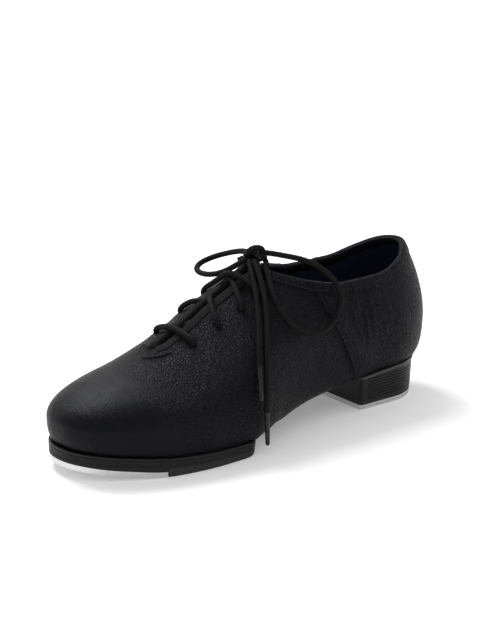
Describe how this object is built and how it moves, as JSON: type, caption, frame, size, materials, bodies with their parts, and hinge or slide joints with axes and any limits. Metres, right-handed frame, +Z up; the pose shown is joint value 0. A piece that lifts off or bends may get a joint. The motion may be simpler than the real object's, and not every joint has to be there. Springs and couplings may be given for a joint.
{
  "type": "tap shoe",
  "caption": "Lace-up split-sole tap shoe: black leather upper on a ridged heel, metal toe and heel taps, rubber pad, round lace tied in a bow; bends at the ball.",
  "frame": {"origin": "bottom centre of the shoe's box, on the floor, without the lace", "axes": "+Z up, +Y from toe to heel, +X to the inner side of the foot"},
  "size_m": [0.1015, 0.2636, 0.1095],
  "materials": {
    "upper_leather": "fine-grained, softly matt black leather",
    "lining": "matt dark navy lining",
    "binding_tape": "ribbed black tape",
    "stiffener": "matt resin-filled stiffener",
    "fibreboard": "matt fibreboard",
    "sole_leather": "burnished black sole edge",
    "rubber": "matt dark grey rubber",
    "heel_plastic": "satin black, ridged",
    "rand_plastic": "satin black",
    "tap_metal": "brushed, bright",
    "screw_steel": "bright steel",
    "lace_cord": "braided black cord",
    "aglet_plastic": "glossy black tip"
  },
  "bodies": {
    "forefoot": {"toe_tap": "tap_metal", "toe_soundboard": "fibreboard", "rubber_pad": "rubber", "outsole": "sole_leather", "midsole": "sole_leather", "toe_tap_screws": "screw_steel", "toe_vamp": "upper_leather", "toe_lining": "lining", "toe_puff": "stiffener"},
    "rearfoot": {"vamp_crease": "upper_leather", "vamp_quarters": "upper_leather", "heel_quarter": "upper_leather", "vamp_lining": "lining", "heel_lining": "lining", "heel_counter": "stiffener", "eyelet_stay_inner": "stiffener", "eyelet_stay_outer": "stiffener", "topline_binding": "binding_tape", "throat_binding_inner": "binding_tape", "throat_binding_outer": "binding_tape", "throat_crescent": "upper_leather", "insole_board": "fibreboard", "sock_liner": "lining", "heel_block": "heel_plastic", "heel_rand": "rand_plastic", "heel_top_piece": "rubber", "heel_tap": "tap_metal", "heel_tap_screws": "screw_steel", "heel_nails": "screw_steel", "lace_crossings": "lace_cord", "lace_knot": "lace_cord", "lace_loop_outer": "lace_cord", "lace_loop_inner": "lace_cord", "lace_end_long": "lace_cord", "lace_end_short": "lace_cord", "aglet_long": "aglet_plastic", "aglet_short": "aglet_plastic"},
    "tongue": {"tongue": "upper_leather", "tongue_lining": "lining"}
  },
  "joints": [
    {"name": "ball_flex", "type": "hinge", "parent": "forefoot", "child": "rearfoot", "pos_m": [0, -0.044, 0.008], "axis": [1, 0, 0], "range_deg": [0, 25], "stiffness_Nm_per_rad": 1.2, "deforming": ["vamp_crease", "insole_board", "sock_liner"]},
    {"name": "tongue_swing", "type": "hinge", "parent": "rearfoot", "child": "tongue", "pos_m": [0, -0.0655, 0.0525], "axis": [1, 0, 0], "range_deg": [-10, 0], "stiffness_Nm_per_rad": 0.05}
  ]
}
